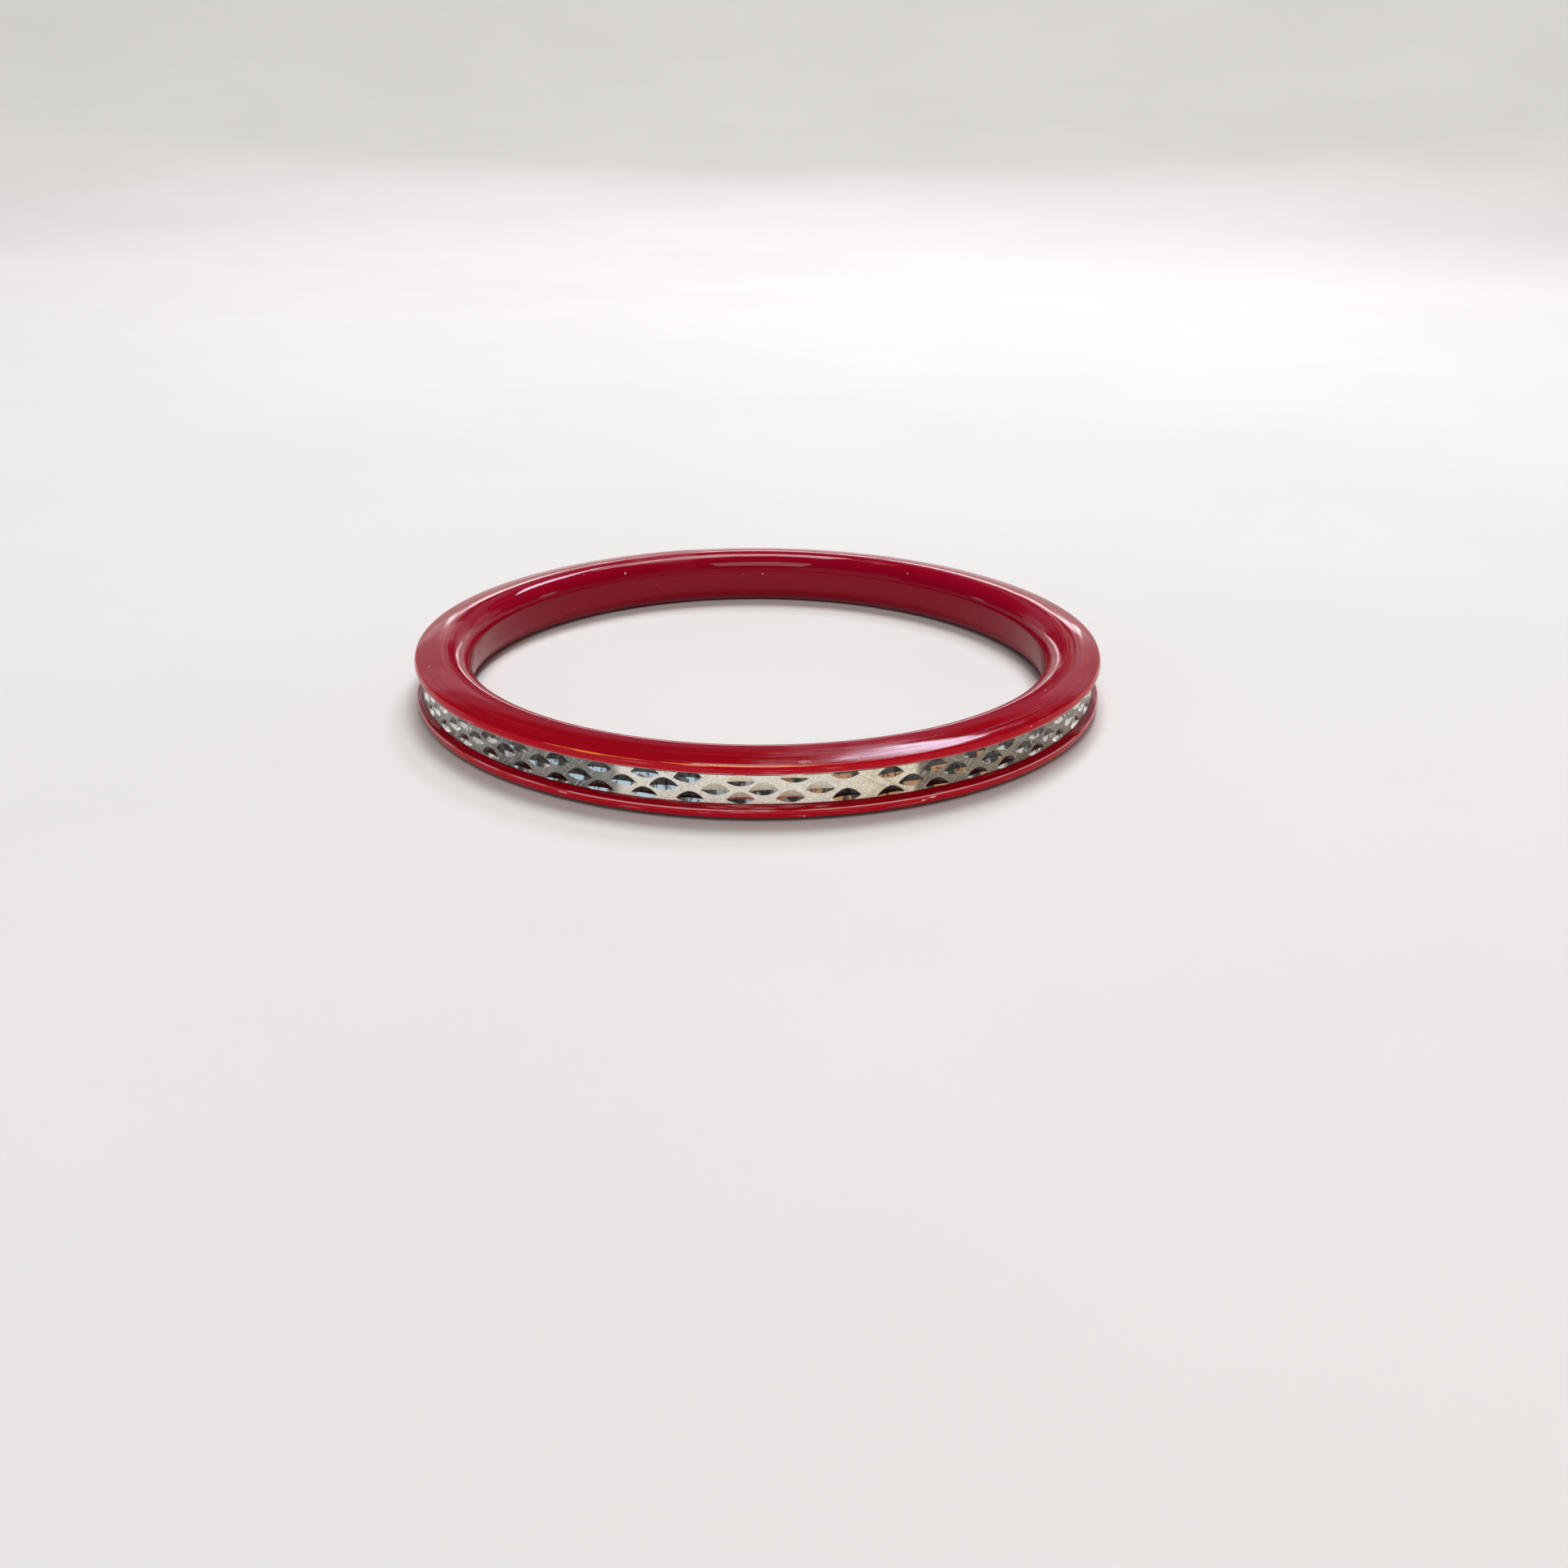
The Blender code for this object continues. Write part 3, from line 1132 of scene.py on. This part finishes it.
@dataclass
class SilverBand:
    """The silver strip in the groove, with three rows of almond-shaped bright cuts.

    Attributes:
        middle: Height of the band's middle above the ground.
    """

    middle: float
    face_radius: float = 33.32 * MM
    thickness: float = 0.45 * MM
    half_width: float = 1.30 * MM
    edge_softness: float = 0.04 * MM
    cuts_in_row: int = 50
    row_spacing: float = 0.867 * MM
    valley_drop: float = 0.09 * MM
    first_angle: float = math.radians(-91.4)
    bare_cut: tuple[CutRow, int] = (CutRow.MIDDLE, 2)
    turn_steps: int = 800
    sharp_from: float = 9.0
    wheel: CuttingWheel = CuttingWheel()
    wander: Wander = Wander()

    @property
    def pitch(self) -> float:
        """The angle from one cut to the next in its row."""
        return 2 * math.pi / self.cuts_in_row

    def place_cut(self, wheel: Object, row: CutRow, place: int, chance: random.Random) -> Object:
        """Copies the cutter to one cut's place.

        Args:
            wheel: The cutter at the angle 0.
            row: The cut's row.
            place: Its number in the row, counted from the front towards +X.
            chance: The source of the unevenness.

        Returns:
            The placed copy, with its own mesh.
        """
        uneven = self.wander
        half_pitch = self.pitch / 2 if row is CutRow.MIDDLE else 0.0
        stray = chance.uniform(-uneven.turn, uneven.turn)
        rise = chance.uniform(-uneven.rise, uneven.rise)
        deeper = chance.uniform(-uneven.depth, uneven.depth)
        tilt = chance.uniform(-uneven.tilt, uneven.tilt)
        if FRONT_CUTS[row].has(place):
            stray, rise = FRONT_CUTS[row].stray(place)
        height = self.middle - self.valley_drop + row.value * self.row_spacing + rise
        cutter = wheel.copy()
        cutter.data = wheel.data.copy()
        bpy.context.scene.collection.objects.link(cutter)
        swung = Matrix.Rotation(self.first_angle + half_pitch + place * self.pitch + stray, 4, "Z")
        pushed = swung @ Matrix.Translation((-deeper, 0, height))
        tipped = Matrix.Translation((self.face_radius, 0, 0)) @ Matrix.Rotation(tilt, 4, "X")
        cutter.matrix_world = pushed @ tipped @ Matrix.Translation((-self.face_radius, 0, 0))
        return cutter

    def cut_row(self, band: Object, wheel: Object, row: CutRow, chance: random.Random) -> None:
        """Cuts one row of almonds into the band.

        Args:
            band: The band to cut.
            wheel: The cutter at the angle 0.
            row: The row to cut.
            chance: The source of the unevenness.
        """
        cutters = []
        half_row = self.cuts_in_row // 2
        for place in range(-half_row, self.cuts_in_row - half_row):
            cutter = self.place_cut(wheel, row, place, chance)
            if (row, place) == self.bare_cut:
                bpy.data.objects.remove(cutter)
            else:
                cutters.append(cutter)
        pick_only(cutters[0])
        for cutter in cutters:
            cutter.select_set(True)
        bpy.ops.object.join()
        gang = bpy.context.object
        bpy.ops.object.transform_apply(location=True, rotation=True, scale=True)
        cut = band.modifiers.new("cut_row", "BOOLEAN")
        cut.operation = "DIFFERENCE"
        cut.solver = "EXACT"
        cut.material_mode = "TRANSFER"
        cut.object = gang
        pick_only(band)
        bpy.ops.object.modifier_apply(modifier=cut.name)
        bpy.data.objects.remove(gang)

    def build(self, effects: Effects) -> Object:
        """Turns the strip, cuts its three rows, and dresses it.

        Args:
            effects: The shared marks.

        Returns:
            The finished band.
        """
        back_radius = self.face_radius - self.thickness
        outline = [
            Corner(back_radius, -self.half_width),
            Corner(self.face_radius, -self.half_width, self.edge_softness, 2),
            Corner(self.face_radius, self.half_width, self.edge_softness, 2),
            Corner(back_radius, self.half_width),
        ]
        band = turned_piece("cut_silver_band", outline, self.middle, self.turn_steps)
        band.data.materials.append(ScratchedSilver().make(effects, self.face_radius))
        wheel = self.wheel.build(effects, self.face_radius)
        chance = random.Random(self.wander.seed)
        for row in CutRow:
            self.cut_row(band, wheel, row, chance)
        bpy.data.objects.remove(wheel)
        shade(band, self.sharp_from)
        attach(band, ROOT_BODY)
        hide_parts("silver_band")
        return band


# The studio


@dataclass(frozen=True)
class StudioSweep:
    """A round pale floor whose border curves gently upwards."""

    flat_radius: float = 0.45
    bend_radius: float = 0.80
    bend: float = math.radians(45)
    bend_steps: int = 16
    sides: int = 160
    gap: float = 0.005 * MM
    sharp_from: float = 40.0

    def build(self) -> Object:
        """Models the sweep and dresses it.

        Returns:
            The sweep.
        """
        bpy.ops.object.select_all(action="DESELECT")
        bpy.ops.mesh.primitive_circle_add(vertices=self.sides, radius=self.flat_radius, fill_type="NGON")
        sweep = bpy.context.object
        sweep.name = "studio_sweep"
        rings = []
        for step in range(1, self.bend_steps + 1):
            angle = step / self.bend_steps * self.bend
            radius = self.flat_radius + self.bend_radius * math.sin(angle)
            rings.append((radius, self.bend_radius * (1 - math.cos(angle))))
        with editing(sweep):
            before = (self.flat_radius, 0.0)
            for radius, height in rings:
                select_points(sweep, lambda point: point.z > before[1] - MERGE_DISTANCE)
                bpy.ops.mesh.extrude_edges_move(TRANSFORM_OT_translate={"value": (0, 0, height - before[1])})
                growth = radius / before[0]
                bpy.ops.transform.resize(value=(growth, growth, 1), center_override=(0, 0, height))
                before = (radius, height)
            bpy.ops.mesh.select_all(action="SELECT")
            bpy.ops.transform.translate(value=(0, 0, -self.gap))
        shade(sweep, self.sharp_from)
        sweep.data.materials.append(StudioPaper().make())
        return sweep


@dataclass(frozen=True)
class Softbox:
    """A soft rectangular light that faces the bangle.

    Attributes:
        name: The light's name.
        azimuth: Its direction in degrees, from +Y towards +X.
        elevation: Its height above the horizon in degrees.
        distance: From the bangle's centre.
        width: Its size from side to side.
        height: Its size from top to bottom.
        radiance: How bright its face is.
        colour: The light's colour.
    """

    name: str
    azimuth: float
    elevation: float
    distance: float
    width: float
    height: float
    radiance: float
    colour: Colour = (1.0, 1.0, 1.0)

    def build(self) -> Object:
        """Adds the light, and returns it."""
        data = bpy.data.lights.new(self.name, "AREA")
        data.shape = "RECTANGLE"
        data.size = self.width
        data.size_y = self.height
        data.energy = self.radiance * math.pi * self.width * self.height
        data.color = self.colour
        light = bpy.data.objects.new(self.name, data)
        bpy.context.scene.collection.objects.link(light)
        turn, lift = math.radians(self.azimuth), math.radians(self.elevation)
        towards = Vector((math.sin(turn) * math.cos(lift), math.cos(turn) * math.cos(lift), math.sin(lift)))
        light.location = self.distance * towards
        light.rotation_euler = towards.to_track_quat("Z", "Y").to_euler()
        return light


@dataclass(frozen=True)
class Studio:
    """The sweep, the lights and the camera, which stands where the photograph was taken from."""

    camera_place: tuple[float, float, float] = (2.675 * MM, -161.16 * MM, 58.30 * MM)
    camera_down: float = 23.25
    camera_roll: float = 0.43
    focal_pixels: float = 2067.5
    sensor: float = 36.0
    nearest_seen: float = 10 * MM
    dimness: Colour = (0.045, 0.048, 0.047)

    def lights(self) -> list[Softbox]:
        """The studio's lights."""
        return [
            Softbox("overhead", 10, 68, 1.40, 0.60, 0.50, 14.0, (1.0, 0.98, 0.96)),
            Softbox("window", 17, 46, 0.50, 0.092, 0.105, 21.0, (0.80, 0.80, 1.0)),
            Softbox("front_fill", 180, 46, 1.20, 0.72, 0.48, 5.0, (1.0, 0.97, 0.95)),
            Softbox("cool_card", -140, 20, 0.45, 0.38, 0.15, 0.65, (0.62, 0.82, 1.0)),
            Softbox("warm_card", 138, 20, 0.45, 0.36, 0.15, 0.38, (1.0, 0.50, 0.22)),
            Softbox("left_strip", -72, 16, 0.40, 0.05, 0.05, 3.0, (1.0, 0.93, 0.95)),
            Softbox("right_strip", 76, 18, 0.40, 0.06, 0.05, 3.2, (1.0, 0.97, 0.92)),
            Softbox("far_left", -28, 18, 0.50, 0.19, 0.14, 0.5, (1.0, 0.88, 0.97)),
            Softbox("far_right", 29, 19, 0.50, 0.19, 0.14, 0.5, (1.0, 0.88, 0.97)),
            Softbox("back_strip", 0, 13, 0.60, 0.40, 0.03, 4.2, (1.0, 0.85, 0.92)),
            Softbox("back_haze", 0, 27, 0.90, 0.90, 0.15, 0.28, (0.72, 0.66, 1.0)),
        ]

    def build(self) -> None:
        """Sets the sweep, lights, surroundings and camera."""
        StudioSweep().build()
        for softbox in self.lights():
            softbox.build()
        world = bpy.data.worlds.new("dim_room")
        world.use_nodes = True
        world.node_tree.nodes["Background"].inputs["Color"].default_value = (*self.dimness, 1.0)
        scene = bpy.context.scene
        scene.world = world
        scene.view_settings.view_transform = "Standard"
        data = bpy.data.cameras.new("camera")
        data.sensor_width = self.sensor
        data.lens = self.focal_pixels / PHOTO_PIXELS * self.sensor
        data.clip_start = self.nearest_seen
        camera = bpy.data.objects.new("camera", data)
        scene.collection.objects.link(camera)
        camera.location = self.camera_place
        level = Euler((math.radians(90 - self.camera_down), 0, 0)).to_matrix()
        camera.rotation_euler = (level @ Matrix.Rotation(math.radians(self.camera_roll), 3, "Z")).to_euler()
        scene.camera = camera


def report(piece: Object) -> None:
    """Logs a finished piece.

    Args:
        piece: The piece to report.
    """
    triangles = sum(len(polygon.vertices) - 2 for polygon in piece.data.polygons)
    sides = [round(side / MM, 2) for side in piece.dimensions]
    log.info("%s: %d triangles, %s mm", piece.name, triangles, sides)


def main() -> None:
    """Builds and dresses the bangle's pieces, then the studio round them."""
    logging.basicConfig(level=logging.INFO, format="%(name)s: %(message)s")
    low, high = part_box("bangle_ring")
    effects = Effects()
    ring = MouldedRing(outer_radius=(high.x - low.x) / 2, height=high.z - low.z)
    report(ring.build(effects))
    report(SilverBand(middle=ring.middle).build(effects))
    Studio().build()


if __name__ == "__main__":
    main()
